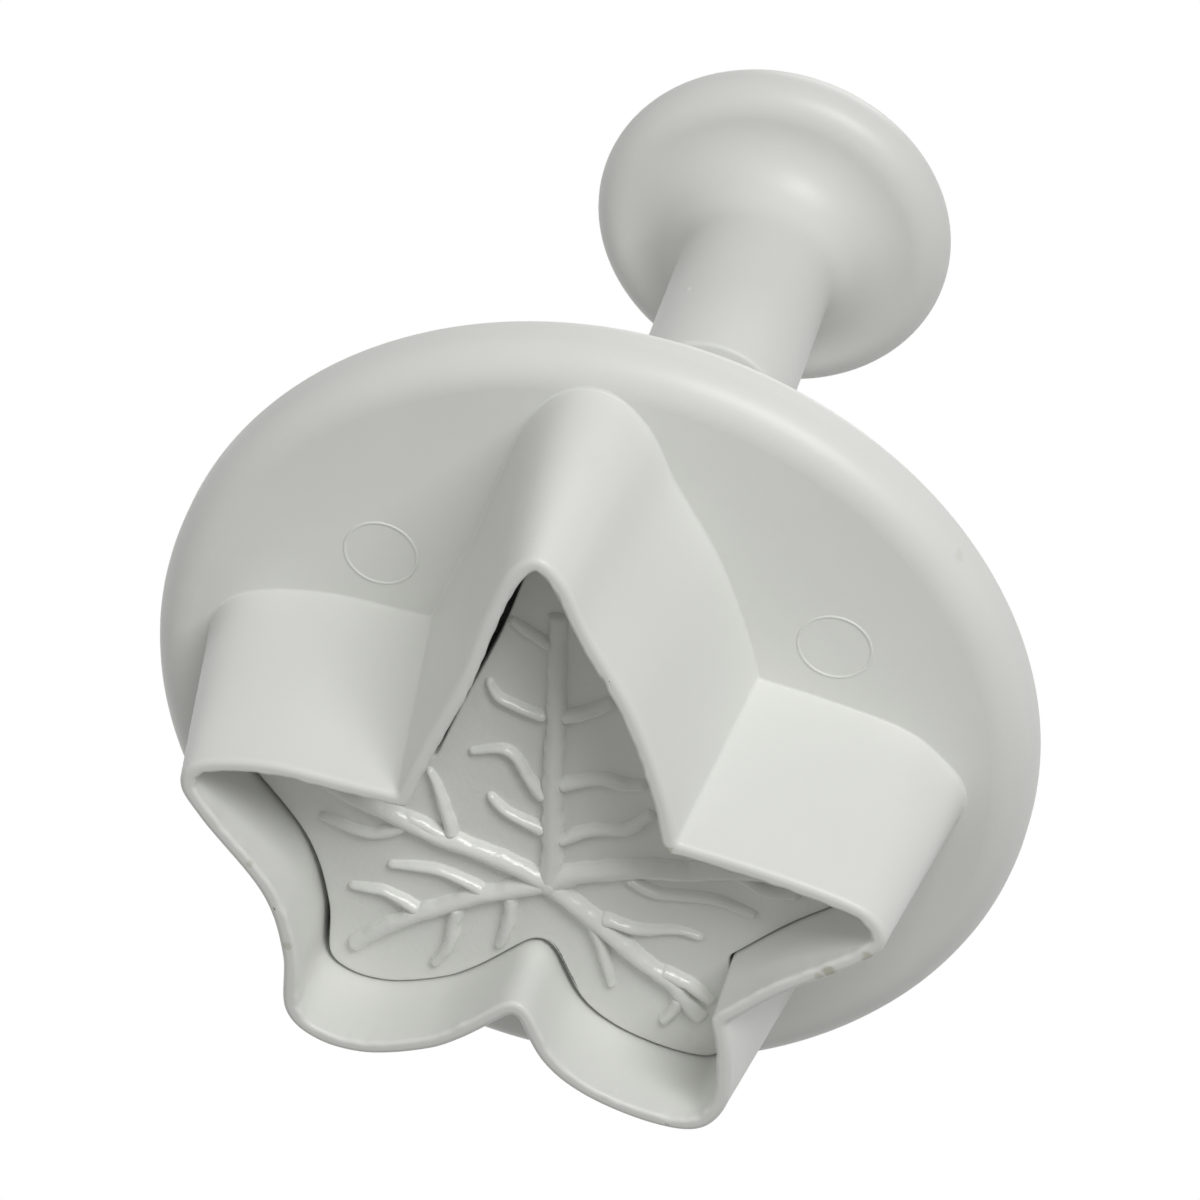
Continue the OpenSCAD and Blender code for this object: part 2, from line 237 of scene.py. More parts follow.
def outline(t):
    """The leaf with its sides moved out by t mm: point + t * normal, from one trimmed end of
    each stretch to the other, with a quadratic curve round each corner. A corner trims t over
    the tangent of half its angle, and its reach on top."""
    loop = []
    for i, (s, path, normal, run) in enumerate(STRETCHES):
        trims = []
        for here, other in ((i - 1) % 4, True), (i, False):
            a = STRETCHES[here][3][-1] if other else run[-1]
            b = run[0] if other else STRETCHES[(i + 1) % 4][3][0]
            half = np.arccos(np.clip(-a @ b, -1, 1)) / 2
            inner, edge, root = REACH[here]
            trims.append(t / np.tan(half) + np.interp(t, [-0.85, 0, 2], [inner, edge, root]))
        at = np.linspace(trims[0], s[-1] - RUN_ON - trims[1], COUNTS[i])
        p = np.stack([np.interp(at, s, path[:, k]) for k in (0, 1)], axis=1)
        n = np.stack([np.interp(at, s, normal[:, k]) for k in (0, 1)], axis=1)
        n /= np.linalg.norm(n, axis=1)[:, None]
        loop.append(unfolded(p + t * n, p))
    u = (np.arange(1, CORNER_POINTS + 1) / (CORNER_POINTS + 1))[:, None]
    out = []
    for i in range(4):
        a, b = loop[i], loop[(i + 1) % 4]
        da, db = a[-1] - a[-2], b[0] - b[1]
        k = np.linalg.solve(np.stack([da, -db], axis=1), b[0] - a[-1])
        corner = a[-1] + da * k[0]
        out += [a, a[-1] * (1 - u)**2 + corner * 2 * u * (1 - u) + b[0] * u**2]
    return np.vstack(out)

edge_line = outline(0)
print("loop of", len(edge_line), "points")

# %% [markdown]
# ## The blade
# On the real cutter the blade is a thin wall, 0.85 mm at the edge, that thickens towards the
# finger plate so that it leaves the mould. We carry one profile round the leaf: each profile
# point has a side step t and a height z, and one call of the outline gives its whole loop. The
# cutting edge is rounded a little, and slightly uneven where it was trimmed. That unevenness is
# what catches the light along the rim in the photograph.

# %% The blade's profile, carried round the leaf
BLADE_H, EDGE_T, SPREAD, FLOOR = 13.5, 0.85, 2.0, 15.3

heights = np.array([0.45, 1, 2, 3, 4, 5, 6, 7, 7.6, 8.2, 8.8, 9.4, 10, 10.6, 11.4, 12.2, 12.9])
outer_wall = np.stack([SPREAD * heights / BLADE_H, heights], axis=1)
turn = np.linspace(0, np.pi / 2, 7)[:, None]
outer_edge = np.hstack([-0.36 + 0.42 * np.cos(turn), 0.4 - 0.4 * np.sin(turn)])
inner_edge = np.hstack([-EDGE_T + 0.26 - 0.26 * np.sin(turn), 0.28 - 0.28 * np.cos(turn)])
root_turn = np.linspace(0, np.pi / 2, 6)[:, None]
root_fillet = np.hstack([SPREAD + 0.14 - 0.14 * np.cos(root_turn),
                         BLADE_H - 0.14 + 0.14 * np.sin(root_turn)])
inner_heights = np.array([0.35, 0.6, 1.5, 3, 4.5, 6, 8, 10, 12, BLADE_H + 0.3])
inner_wall = np.stack([np.full(len(inner_heights), -EDGE_T), inner_heights], axis=1)
profile = np.vstack([inner_edge[:1] + [[0.1, 0]], inner_edge, inner_wall,
                     [[SPREAD + 0.14, BLADE_H + 0.3]], root_fillet[::-1], outer_wall[::-1],
                     outer_edge, [[-0.42, 0]]])
loops = np.stack([np.column_stack([outline(t), np.full(len(edge_line), z)])
                  for t, z in profile])
print("blade grid:", loops.shape)

# %% [markdown]
# ### What makes the blade look used
# A moulded edge is trimmed by hand, so it wanders by a few hundredths of a millimetre, most of
# all on its inner side. The top lobe has one shallow dimple in its outer wall, and the side lobe
# on the right is drawn in a little at its root. Each of these is a small sideways step of the
# points that are there already.

# %% Trim marks, the dimple and the drawn-in root
DIMPLE, DIMPLE_DEPTH, DIMPLE_R = [-0.9, 23.1, 9.3], 0.09, 0.7
LOBE_ROOT, DRAW_IN, DRAW_R = [-21.3, 2.9], 0.4, 2.2
rng = np.random.default_rng(5)


def wander(count, waves, size):
    """A smooth closed wave: a sum of sines of whole numbers of waves, with chance phases."""
    angle = np.arange(count) / count * 2 * np.pi
    phase = rng.uniform(0, 2 * np.pi, len(waves))
    return size * sum(np.sin(w * angle + p) for w, p in zip(waves, phase)) / len(waves)**0.5

columns = loops.shape[1]
sideways = outline(0.5) - outline(-0.5)
sideways /= np.linalg.norm(sideways, axis=1)[:, None]
ragged = wander(columns, [31, 47, 58, 73, 94, 117], 0.035)
slow = wander(columns, [5, 8, 13], 0.03)
near_edge = np.clip(1 - loops[:, :1, 2] / 0.7, 0, 1)
is_inner = (profile[:, :1] < -0.4)
loops[:, :, :2] += (near_edge * (slow + ragged * is_inner))[..., None] * sideways
apart = np.linalg.norm(loops - DIMPLE, axis=2)
loops[:, :, :2] -= DIMPLE_DEPTH * np.exp(-(apart / DIMPLE_R)**2)[..., None] * sideways
apart = np.linalg.norm(loops[:, :, :2] - LOBE_ROOT, axis=2)
step = DRAW_IN * loops[:, :, 2] / BLADE_H * np.exp(-(apart / DRAW_R)**2)
loops[:, :, :2] -= step[..., None] * sideways
blade_skin = skin(loops)

# %% [markdown]
# ## The finger plate and its post
# The finger plate, its turned-up lip, the post and the thin guide tube are all round, so they
# are one profile turned about the axis. A real mould has no perfectly sharp corner. Each corner
# of the profile is written as a point and a radius, and becomes a small arc. Close beside each
# arc stands one more point, so that smooth shading stays flat on the flats.

# %% Rounded profiles, turned about the axis
def rounded(corners, steps=7):
    """A profile from corners of (r, z, radius). Each corner becomes an arc that touches both its
    sides: its centre lies on the bisector, at radius over the sine of half the angle."""
    out = []
    for i, (r, z, radius) in enumerate(corners):
        p = np.array([r, z], float)
        if radius == 0:
            out.append(p[None])
            continue
        before = np.array(corners[i - 1][:2]) - p
        after = np.array(corners[(i + 1) % len(corners)][:2]) - p
        a, b = (v / np.linalg.norm(v) for v in (before, after))
        half = np.arccos(np.clip(a @ b, -1, 1)) / 2
        cut = radius / np.tan(half)
        middle = p + (a + b) / np.linalg.norm(a + b) * radius / np.sin(half)
        one, two = p + a * cut - middle, p + b * cut - middle
        sweep = np.arctan2(one[0] * two[1] - one[1] * two[0], one @ two)
        angle = np.arctan2(one[1], one[0]) + np.linspace(0, sweep, steps + 1)
        arc = middle + radius * np.stack([np.cos(angle), np.sin(angle)], axis=1)
        beside = 0.12 * np.minimum(1, (np.array([np.linalg.norm(before), np.linalg.norm(after)])
                                       - cut) / 0.5)
        out.append(np.vstack([arc[0] + a * beside[0], arc, arc[-1] + b * beside[1]]))
    return np.vstack(out)


def turned(section, steps=256):
    """Loops of a section turned about Z: (r cos a, r sin a, z)."""
    angle = np.arange(steps) / steps * 2 * np.pi
    r, z = section[:, :1], section[:, 1:]
    return np.stack([r * np.cos(angle), r * np.sin(angle), z + 0 * angle], axis=-1)

# %% The finger plate, the lip, the post and the guide tube
FLANGE_R, FLANGE_T, LIP_R = 26.0, 1.8, 2.2
SHOULDER, GUIDE_TOP = 39.45, 51.0
plate_section = rounded([
    (3.55, BLADE_H, 0.2), (FLANGE_R, BLADE_H, LIP_R), (FLANGE_R, 17.4, 0.74),
    (FLANGE_R - FLANGE_T, 17.4, 0.74), (FLANGE_R - FLANGE_T, FLOOR, 0.45),
    (4.85, FLOOR, 2.5), (4.85, SHOULDER, 0.25), (3.5, SHOULDER, 0.15), (3.5, GUIDE_TOP, 0.25),
    (2.15, GUIDE_TOP, 0.25), (2.15, SHOULDER - 1.3, 0.2), (3.55, SHOULDER - 1.3, 0.3)], steps=8)
plate_skin = skin(turned(plate_section, 320))

# %% [markdown]
# ### Ejector-pin marks
# Two pins push the moulding out while it is still warm, and each leaves a thin raised ring on
# the plate's underside. They are a few hundredths of a millimetre high, yet light that skims the
# plate picks them out. Each is a turned half-round with its foot sunk in the plate.

# %% The two rings, and the whole moulding
MARK_R, MARK_WIDE, MARK_PROUD = 2.13, 0.09, 0.07


def ring(x, y):
    """A thin half-round ring that stands a little proud of the plate's underside."""
    round_angle = np.linspace(0, np.pi, 7)
    r = MARK_R + MARK_WIDE * np.cos(round_angle)
    z = BLADE_H - MARK_PROUD * np.sin(round_angle)
    section = np.vstack([np.stack([r, z], axis=1),
                         [[r[-1], BLADE_H + 0.1], [r[0], BLADE_H + 0.1]]])
    return skin(turned(section, 96) + [x, y, 0])

marks = [ring(12.37, 10.11), ring(-14.17, 8.9)]
moulding = piece("cutter_moulding", [blade_skin, plate_skin] + marks)
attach(moulding, "body")
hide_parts("cutter_body")

# %% [markdown]
# ## The plunger's knob
# The sleeve and the mushroom knob are also one turned piece. Its profile starts on the axis at
# the top of the dome, runs round the rim, down the sleeve, up inside the spring's chamber and
# ends on the axis in the rod's seat, so both ends close in a pole.

# %% The knob and sleeve
KNOB_R, KNOB_MID, SLEEVE_R, SLEEVE_END = 11.3, 65.5, 4.85, 45.5
BORE_R, CEILING, SEAT_R, SEAT_TOP = 3.58, 62.7, 1.9, 67.7
rim_r, dome_h = KNOB_R - 2, 1.4
dome_r = (rim_r**2 + dome_h**2) / (2 * dome_h)
r = np.linspace(0.6, rim_r - 0.15, 14)
dome = np.stack([r, KNOB_MID + 2 + dome_h - dome_r + np.sqrt(dome_r**2 - r**2)], axis=1)
half_turn = np.linspace(np.pi / 2 - 0.12, -np.pi / 2, 26)
rim = np.stack([rim_r + 2 * np.cos(half_turn), KNOB_MID + 2 * np.sin(half_turn)], axis=1)
lower = rounded([(rim_r, KNOB_MID - 2, 0), (SLEEVE_R, KNOB_MID - 2, 4),
                 (SLEEVE_R, SLEEVE_END, 0.3), (BORE_R, SLEEVE_END, 0.2), (BORE_R, CEILING, 0.2),
                 (SEAT_R, CEILING, 0.15), (SEAT_R, SEAT_TOP, 0.1), (0, SEAT_TOP, 0)], steps=14)
knob_section = np.vstack([dome, rim, lower[1:-1]])
knob_skin = skin(turned(knob_section, 256), [0, 0, KNOB_MID + 2 + dome_h], [0, 0, SEAT_TOP])

# %% [markdown]
# ### A pimple on the stem
# The stem carries one small pimple where the mould had a pit. It is a cap of seven rings, bent
# round the stem, with its rim sunk below the surface.

# %% The pimple, and the whole knob
PIMPLE_Z, PIMPLE_R, PIMPLE_H = 51.83, 0.34, 0.06
bearing = np.arctan2(4.04, 2.68)
sway = np.arange(32) / 32 * 2 * np.pi
grow = np.linspace(0.15, 1, 7)[:, None]
bump_r = SLEEVE_R + PIMPLE_H * np.cos(grow * np.pi * 0.62) + 0 * sway
bump_angle = bearing + PIMPLE_R * grow * np.cos(sway) / SLEEVE_R
bump = np.stack([bump_r * np.cos(bump_angle), bump_r * np.sin(bump_angle),
                 PIMPLE_Z + PIMPLE_R * grow * np.sin(sway)], axis=-1)
way = np.array([np.cos(bearing), np.sin(bearing)])
knob = piece("plunger_knob_moulding", [knob_skin, skin(
    bump, [*(way * (SLEEVE_R + PIMPLE_H)), PIMPLE_Z],
    [*(way * (SLEEVE_R - 0.1)), PIMPLE_Z])])
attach(knob, "plunger")
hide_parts("plunger_knob")

# %% [markdown]
# ## The leaf plate
# The plate fills the blade with a gap of 0.3 mm. Every point of the leaf can be seen from one
# point near its middle, so its face can be a grid of rays and rings: the outline shrunk towards
# that middle. The same stack of loops runs on over the rounded rim, across the back, up the boss
# that holds the rod, and down into the rod's seat.

# %% The plate, its boss and the rod's seat
FACE, BACK, BOSS_TOP, SEAT_BOTTOM, GAP = 5.5, 7.1, 13.45, 9.45, 0.3
BOSS_R, ROD_R = 4.3, 1.9
middle = np.array([0, -3.0])
OFF_CENTRE = np.array([-0.13, -0.14])
side = outline(-EDGE_T - GAP) + OFF_CENTRE
rays = side - middle
heading = np.unwrap(np.arctan2(rays[:, 1], rays[:, 0]))
chord = (middle @ np.stack([np.cos(heading), np.sin(heading)]))
reach = -chord + np.sqrt(chord**2 + BOSS_R**2 - middle @ middle)
boss = middle + reach[:, None] * np.stack([np.cos(heading), np.sin(heading)], axis=1)
bore = boss / BOSS_R * ROD_R


def flat(loop, z):
    """A level loop at height z."""
    return np.column_stack([loop, np.full(len(loop), z)])


def rim_step(inset):
    """The plate's side, moved in by a little for its rounded rim."""
    return outline(-EDGE_T - GAP - inset) + OFF_CENTRE

rings = [flat(middle + rays * k, FACE) for k in np.linspace(0.03, 0.96, 16)]
rings += [flat(rim_step(0.15 * (1 - np.sin(a))), FACE + 0.15 * (1 - np.cos(a)))
          for a in np.linspace(0, np.pi / 2, 5)]
rings += [flat(side, z) for z in (FACE + 0.4, BACK - 0.3, BACK - 0.05)]
rings += [flat(boss + (side - boss) * k, BACK) for k in (0.985, 0.6, 0.3, 0.02)]
rings += [flat(boss, z) for z in (BACK + 0.1, 10, BOSS_TOP - 0.15)]
rings += [flat(boss * k, BOSS_TOP) for k in (0.97, 0.7)]
rings += [flat(bore * 1.08, BOSS_TOP)]
rings += [flat(bore, z) for z in (BOSS_TOP - 0.15, 11, SEAT_BOTTOM + 0.05)]
rings += [flat(bore * k, SEAT_BOTTOM) for k in (0.95, 0.5)]
plate_skin = skin(np.stack(rings), [*middle, FACE], [0, 0, SEAT_BOTTOM])

# %% [markdown]
# ## The veins
# Each vein was cut into the mould with a small round cutter, so it is a ridge with a rounded
# crest and steep sides. We carry one nearly half-round profile along each vein's path. Its width
# falls from root to tip, its crest follows the width, and both ends round off. A side vein runs
# into the flank of the thicker one that it joins, so that the two merge as the real ones do.

# %% The paths of the veins
HUB = [0.05, -5.15]
MAIN_VEINS = [
    [1.4, 1.1, [HUB, [-0.05, -3.25], [0, -1.65], [0.05, 0.4], [0.1, 2.25], [0.1, 4.1],
                  [0.05, 5.9], [0.1, 8.4], [0.15, 10.9], [0.15, 13], [0.2, 14.4]]],
    [1.45, 1.25, [HUB, [0.9, -4.8], [1.8, -4.4], [3, -4], [4.15, -3.65], [5.35, -3.35],
                  [6.55, -3.1], [8.9, -2.2], [11.3, -1.4], [13.65, -0.5]]],
    [1.55, 1.3, [HUB, [-0.7, -4.55], [-1.7, -4], [-2.9, -3.6], [-4.6, -3.05], [-6.35, -2.7],
                 [-8.1, -2.5], [-9.55, -2.05], [-10.95, -1.8], [-12.7, -1.55], [-14.45, -1.4]]],
    [1.35, 1.05, [HUB, [0.9, -5.5], [1.75, -5.85], [2.9, -6.4], [4.1, -6.9], [5.25, -7.6],
                [6.4, -8.35], [7.6, -9.05], [8.75, -9.9], [9.95, -10.85], [11.1, -11.95],
                [11.7, -12.6]]],
    [1.45, 1.1, [HUB, [-0.9, -5.9], [-1.8, -6.6], [-3, -7.55], [-4.25, -8.6], [-5.45, -9.6],
                 [-6.65, -10.4], [-7.4, -10.95], [-7.95, -11.8], [-8.6, -12.65],
                 [-9.3, -13.45]]],
    [1, 0.9, [[6.2, -3.05], [7, -2.6], [7.7, -2.3], [8.4, -2.1], [9.2, -2.1]]],
]
SIDE_VEINS = [
    [0.95, 0.6, [[0.35, -1.35], [1.1, -1.05], [1.9, -0.75], [2.65, -0.4], [3.3, 0.1],
                  [3.85, 0.7]]],
    [0.95, 0.55, [[0.35, 1.15], [0.75, 1.35], [1.15, 1.85], [1.6, 2.5], [1.95, 3.15],
                 [2.35, 3.75], [2.9, 4.1], [3.5, 4.05], [4.25, 3.75], [5.05, 3.45]]],
    [0.85, 0.6, [[0.5, 6.95], [1.55, 7.15], [2.65, 7.5], [3.35, 7.8], [3.8, 8.35],
                  [4.05, 9]]],
    [0.75, 0.6, [[0.4, 12], [1.7, 12.75], [3, 13.5]]],
    [0.9, 0.8, [[-0.35, -1.95], [-1.3, -1.25], [-2.1, -0.75], [-3.05, -0.45],
                 [-4.15, -0.25], [-4.75, 0.15], [-5.25, 0.75], [-5.85, 1.3]]],
    [0.95, 0.85, [[-0.25, 2.1], [-0.65, 2.35], [-1.4, 2.7], [-2.2, 3.05], [-2.95, 3.2],
                 [-3.65, 3.1], [-4.45, 3.05], [-5.35, 3.3]]],
    [1, 0.8, [[-0.2, 7.1], [-0.55, 7.25], [-1.35, 7.55], [-2.05, 8], [-2.7, 8.45],
                 [-3.25, 9]]],
    [1, 0.55, [[5.9, -2.95], [6, -2.1], [6.3, -1.1], [6.6, -0.1], [6.95, 0.9],
                 [7.4, 1.75]]],
    [0.9, 0.6, [[8.1, -2.15], [8.55, -2.55], [9.05, -3.05], [9.85, -3.5], [10.65, -3.75],
                 [11.8, -3.6], [12.8, -3.3], [13.75, -3.1]]],
    [0.75, 0.65, [[-4.4, -3.7], [-4.9, -3.95], [-5.55, -4.3], [-6.4, -4.5], [-7.3, -4.4],
                 [-8.15, -4.3], [-9.05, -4.2], [-9.9, -4.25], [-10.65, -4.45],
                 [-11.4, -4.75], [-12.05, -4.95]]],
    [0.85, 0.7, [[-10.4, -1.85], [-10.8, -2.1], [-11.45, -2.4], [-12, -2.75],
                [-12.55, -2.95], [-13.35, -3], [-14.5, -2.9]]],
    [0.95, 0.6, [[3.7, -6.65], [4.15, -6.45], [4.75, -6.15], [5.55, -5.85], [6.5, -5.6],
                 [7.65, -5.6], [8.7, -5.75], [9.65, -5.9]]],
    [0.95, 0.55, [[7.55, -9], [8.15, -8.6], [9, -8.15], [9.85, -7.85], [10.95, -7.9],
                  [11.95, -7.95]]],
    [1, 0.7, [[5.45, -7.7], [5.5, -8.65], [5.65, -9.5], [5.7, -10.35], [5.9, -11.2],
                 [6.3, -12], [6.8, -12.9]]],
    [1, 0.7, [[2.35, -6.2], [2.3, -7.55], [2.45, -8.85], [2.7, -9.95], [3, -10.7]]],
    [1, 0.5, [[-3, -7.15], [-3.55, -7.1], [-4.2, -7.25], [-5, -7.4], [-5.95, -7.3],
                 [-6.9, -7.05], [-7.7, -6.95], [-8.4, -7.1], [-9.05, -7.35]]],
    [0.95, 0.55, [[-2.3, -6.95], [-2.65, -7.85], [-3, -8.8], [-3.3, -9.9], [-3.6, -11.05],
                  [-3.85, -12.2]]],
    [1.05, 0.8, [[-6.6, -10.2], [-7.2, -10.3], [-7.75, -10.6], [-8.25, -10.75], [-8.75, -11.1],
                 [-9.3, -11.55], [-9.85, -12.05]]],
    [1, 0.7, [[-7.75, -11.3], [-7.8, -12.05], [-7.65, -12.8], [-7.25, -13.55],
                 [-6.85, -14.2]]],
]
print(len(MAIN_VEINS), "main veins,", len(SIDE_VEINS), "side veins")

# %% One vein: a nearly half-round profile carried along its path
VEIN_H, END = 0.78, 0.35
main_path = np.vstack([curve(knots) for *_, knots in MAIN_VEINS])
main_width = np.concatenate([np.linspace(a, b, len(curve(knots)))
                             for a, b, knots in MAIN_VEINS])
HALF_TURN = np.linspace(0, np.pi, 21)
ACROSS = np.cos(HALF_TURN) / 2
RISE = np.sin(HALF_TURN)**1.3 - 0.02


def vein(root_w, tip_w, knots, main):
    """Point (i, j) is the path's point i, plus across[j] * width to its left, raised by
    rise[j] * height. The ends shrink as the root of 1 minus the square of what is left."""
    path = curve(knots)
    s = along(path)
    width = root_w + (tip_w - root_w) * s / s[-1]
    if not main:  # leave out what lies inside the thicker vein
        apart = np.linalg.norm(path[:, None] - main_path[None], axis=2) - 0.12 * main_width
        free = apart.min(axis=1) > 0
        path, width = path[free], width[free]
        s = along(path)
    count = int(s[-1] / 0.1) + 8
    ends = 1 - np.cos(np.linspace(0, np.pi / 2, 8))
    at = np.concatenate([END * ends[1:], np.linspace(END + 0.01, s[-1] - END - 0.01, count),
                         s[-1] - END * ends[:0:-1]])
    p = np.stack([np.interp(at, s, path[:, k]) for k in (0, 1)], axis=1)
    run = np.gradient(p, at, axis=0)
    run /= np.linalg.norm(run, axis=1)[:, None]
    left = np.stack([-run[:, 1], run[:, 0]], axis=1)
    w = np.interp(at, s, width)
    root = 1 if main else np.sqrt(np.clip(1 - (1 - at / END).clip(0)**2, 0, 1))
    tip = np.sqrt(np.clip(1 - (1 - (s[-1] - at) / END).clip(0)**2, 0, 1))
    fade = np.clip((s[-1] - at) / (0.3 * s[-1]), 0, 1)
    high = VEIN_H * np.minimum(1, w / 1.3)**0.6 * root * tip * (0.7 + 0.3 * fade)
    w = w * root * tip
    wobble = 1 + 0.05 * np.sin(at * 2.1 + root_w * 40) + 0.04 * np.sin(at * 4.7 + tip_w * 50)
    step = ACROSS[None, :, None] * (w * wobble)[:, None, None]
    flat_points = p[:, None] + left[:, None] * step
    z = FACE - RISE[None] * high[:, None]
    ridge = np.concatenate([flat_points, z[..., None]], axis=2)
    floor_z = FACE + 0.25
    under = ridge[:, [-1, 0]].copy()
    under[..., 2] = floor_z
    loops = np.concatenate([ridge, under], axis=1)
    first, last = loops[0].mean(axis=0), loops[-1].mean(axis=0)
    return skin(loops, first, last)

vein_skins = [vein(*v, True) for v in MAIN_VEINS] + [vein(*v, False) for v in SIDE_VEINS]

# %% The raised hub where the main veins meet, and the whole plate
HUB_R, HUB_H = 1.25, 0.82
angle = np.arange(64) / 64 * 2 * np.pi
from_hub = np.linspace(0.1, HUB_R, 12)[:, None]
swell = (1 + np.cos(np.pi * (from_hub / HUB_R)**1.3)) / 2
hub = np.stack([HUB[0] + from_hub * np.cos(angle), HUB[1] + from_hub * np.sin(angle),
                FACE - HUB_H * swell + 0 * angle], axis=-1)
base = hub[-1:].copy()
base[..., 2] = FACE + 0.25
hub_skin = skin(np.concatenate([hub, base]), [*HUB, FACE - HUB_H], [*HUB, FACE + 0.25])
leaf_plate = piece("veined_leaf_plate", [plate_skin, hub_skin] + vein_skins)
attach(leaf_plate, "plunger")
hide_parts("embossing_plate")

# %% [markdown]
# ## The return spring
# The spring is one round wire in seven curls, closer at both ends. It stands on the guide tube
# and carries the plunger, so it has to shorten as the plunger goes down.

# %% The coil
WIRE_R, COIL_R, CURLS, END_TURNS, END_PITCH = 0.3, 2.65, 7, 1, 1.02
rise = CEILING - GUIDE_TOP - 2 * WIRE_R - 0.02
along_coil = np.linspace(0, CURLS, CURLS * 32 + 1)
lift = np.interp(along_coil, [0, END_TURNS, CURLS - END_TURNS, CURLS],
                 [0, END_PITCH * END_TURNS, rise - END_PITCH * END_TURNS, rise])
angle = along_coil * 2 * np.pi
outwards = np.stack([np.cos(angle), np.sin(angle), 0 * angle], axis=1)
wire = outwards * COIL_R + [0, 0, GUIDE_TOP + WIRE_R + 0.01] + lift[:, None] * [0, 0, 1]
spin = np.arange(12) / 12 * 2 * np.pi
coil = wire[:, None] + WIRE_R * (np.cos(spin)[None, :, None] * outwards[:, None]
                                 + np.sin(spin)[None, :, None] * np.array([0, 0, 1]))
spring = piece("drawn_wire_spring", [skin(coil, wire[0], wire[-1])])
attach(spring, "body")
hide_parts("return_spring")
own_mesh(spring)

# %% [markdown]
# ## Materials
# A material is a small graph of nodes. One function adds a node, fills in its settings and
# joins its links, so each finish below reads as a list of what it is made of. Colours are
# written as the hex values that the eye knows, and one function turns them into the linear
# light that Blender works in.

# %% Colour and node helpers
def light(hex_colour):
    """Linear light of an sRGB hex colour: ((c + 0.055) / 1.055) ^ 2.4, or c / 12.92 when dark."""
    c = np.array([int(hex_colour[i:i + 2], 16) for i in (1, 3, 5)]) / 255
    return [*np.where(c > 0.04045, ((c + 0.055) / 1.055)**2.4, c / 12.92).tolist(), 1]


def per(mm):
    """Scale of a pattern whose features are this many millimetres apart."""
    return 1000 / mm


def add(tree, kind, links=None, **settings):
    """A node with its settings and links. A setting is the node's own property, or else the
    value of an input, and a link joins an output of another node to an input."""
    made = tree.nodes.new("ShaderNode" + kind)
    for key, value in settings.items():
        if hasattr(made, key):
            setattr(made, key, value)
        else:
            made.inputs[int(key[1:]) if key[1:].isdigit() else key.replace("_", " ")
                        ].default_value = value
    for key, source in (links or {}).items():
        tree.links.new(source, made.inputs[key])
    return made


def material(name):
    """An empty node material, with its tree and output."""
    made = bpy.data.materials.new(name)
    made.use_nodes = True
    made.node_tree.nodes.clear()
    return made, made.node_tree, add(made.node_tree, "OutputMaterial")

# %% [markdown]
# ### Moulded ABS
# The body and the knob are injection-moulded ABS with a satin face. The mould was blasted, so
# the plastic carries a grain of about 0.18 mm that spreads each highlight. Its colour wanders
# very slightly, and a few specks of old paste sit on the cutting edge.

# %% Masks by distance
def near(tree, place, centre, start, end, inside, outside):
    """A value that is inside up to start mm from the centre and outside beyond end mm."""
    gap = add(tree, "VectorMath", {0: place}, operation="DISTANCE", i1=[c * MM for c in centre])
    return add(tree, "MapRange", {"Value": gap.outputs["Value"]}, i1=start * MM, i2=end * MM,
               i3=inside, i4=outside, interpolation_type="SMOOTHSTEP").outputs[0]


def joined(tree, values, operation):
    """Many values made one, with the same sum done again and again."""
    total = values[0]
    for value in values[1:]:
        total = add(tree, "Math", {0: total, 1: value}, operation=operation).outputs[0]
    return total

# %% Satin ABS of the body and the knob
def moulded_abs(name, base, shade, grain, rough, stains=()):
    """Satin ABS: IOR 1.53, a soft highlight, a fine grain and slow ripples. A stain is a centre,
    a radius and a strength."""
    made, tree, out = material(name)
    place = add(tree, "TexCoord").outputs["Object"]
    drift = add(tree, "TexNoise", {"Vector": place}, Scale=per(9), Detail=2)
    colour = add(tree, "Mix", {0: drift.outputs["Fac"]}, data_type="RGBA", i6=light(base),
                 i7=light(shade))
    paint = colour.outputs[2]
    if stains:
        uneven = add(tree, "TexNoise", {"Vector": place}, Scale=per(0.5), Detail=2)
        astray = add(tree, "VectorMath", {0: uneven.outputs["Color"], 2: place},
                     operation="MULTIPLY_ADD", i1=[0.5 * MM] * 3).outputs[0]
        masks = [near(tree, astray, [c + 0.25 for c in centre], radius * 0.4, radius, strength, 0)
                 for centre, radius, strength in stains]
        paint = add(tree, "Mix", {0: joined(tree, masks, "MAXIMUM"), 6: paint},
                    data_type="RGBA", i7=light("#9C9876")).outputs[2]
    fine = add(tree, "TexNoise", {"Vector": place}, Scale=per(0.18), Detail=2)
    slow = add(tree, "TexNoise", {"Vector": place}, Scale=per(4), Detail=1)
    ripple = add(tree, "Bump", {"Height": slow.outputs["Fac"]}, Distance=0.04 * MM)
    bump = add(tree, "Bump", {"Height": fine.outputs["Fac"], "Normal": ripple.outputs[0]},
               Distance=grain * MM)
    rough_map = add(tree, "MapRange", {"Value": slow.outputs["Fac"]}, i3=rough - 0.04,
                    i4=rough + 0.04)
    shader = add(tree, "BsdfPrincipled", {"Base Color": paint, "Roughness": rough_map.outputs[0],
                                          "Normal": bump.outputs[0]}, IOR=1.53)
    tree.links.new(shader.outputs[0], out.inputs[0])
    return made

